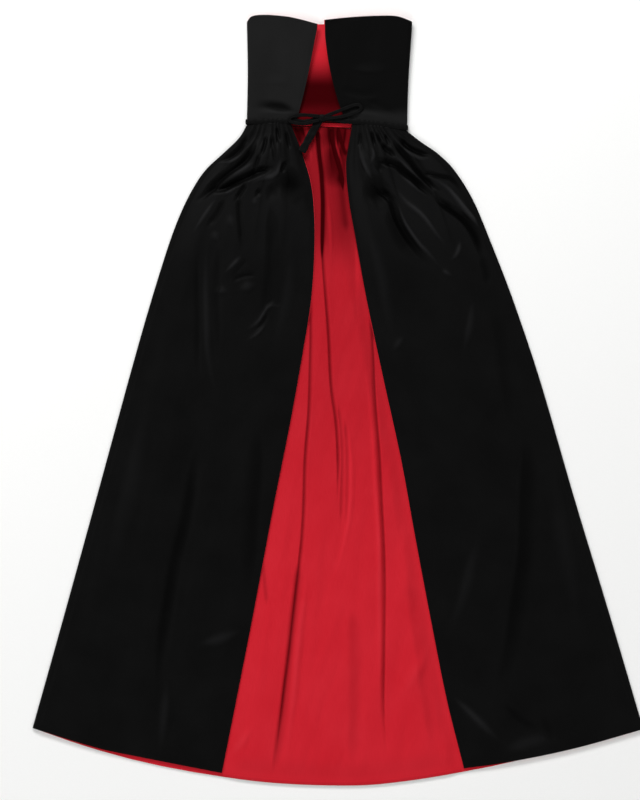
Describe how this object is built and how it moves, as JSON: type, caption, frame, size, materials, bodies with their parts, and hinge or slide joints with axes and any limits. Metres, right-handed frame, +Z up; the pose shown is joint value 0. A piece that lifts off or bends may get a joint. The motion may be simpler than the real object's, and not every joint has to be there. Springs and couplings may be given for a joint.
{
  "type": "full-length lined cape with stand collar",
  "caption": "Floor-length gathered cape laid flat, with open fronts over a red lining, a tall stand collar, a neckband and ties knotted in a small bow.",
  "frame": {"origin": "under the middle of the whole outline, on the surface that the cape lies on", "axes": "+Y from the hem to the collar, +Z up from the surface, +X to the right as seen from above"},
  "size_m": [1.294, 1.6306, 0.0225],
  "materials": {
    "black_satin": "satin weave, soft sheen",
    "red_satin": "satin weave, soft sheen"
  },
  "bodies": {
    "root": {"back_shell": "black_satin", "back_lining": "red_satin", "front_right_shell": "black_satin", "front_right_lining": "red_satin", "front_left_shell": "black_satin", "front_left_lining": "red_satin", "collar_shell": "black_satin", "collar_lining": "red_satin", "neckband_shell": "black_satin", "neckband_lining": "red_satin", "tie_right": "black_satin", "tie_left": "black_satin", "bow_knot": "black_satin", "bow_loop_right": "black_satin", "bow_loop_left": "black_satin", "bow_tail": "black_satin"}
  },
  "joints": []
}
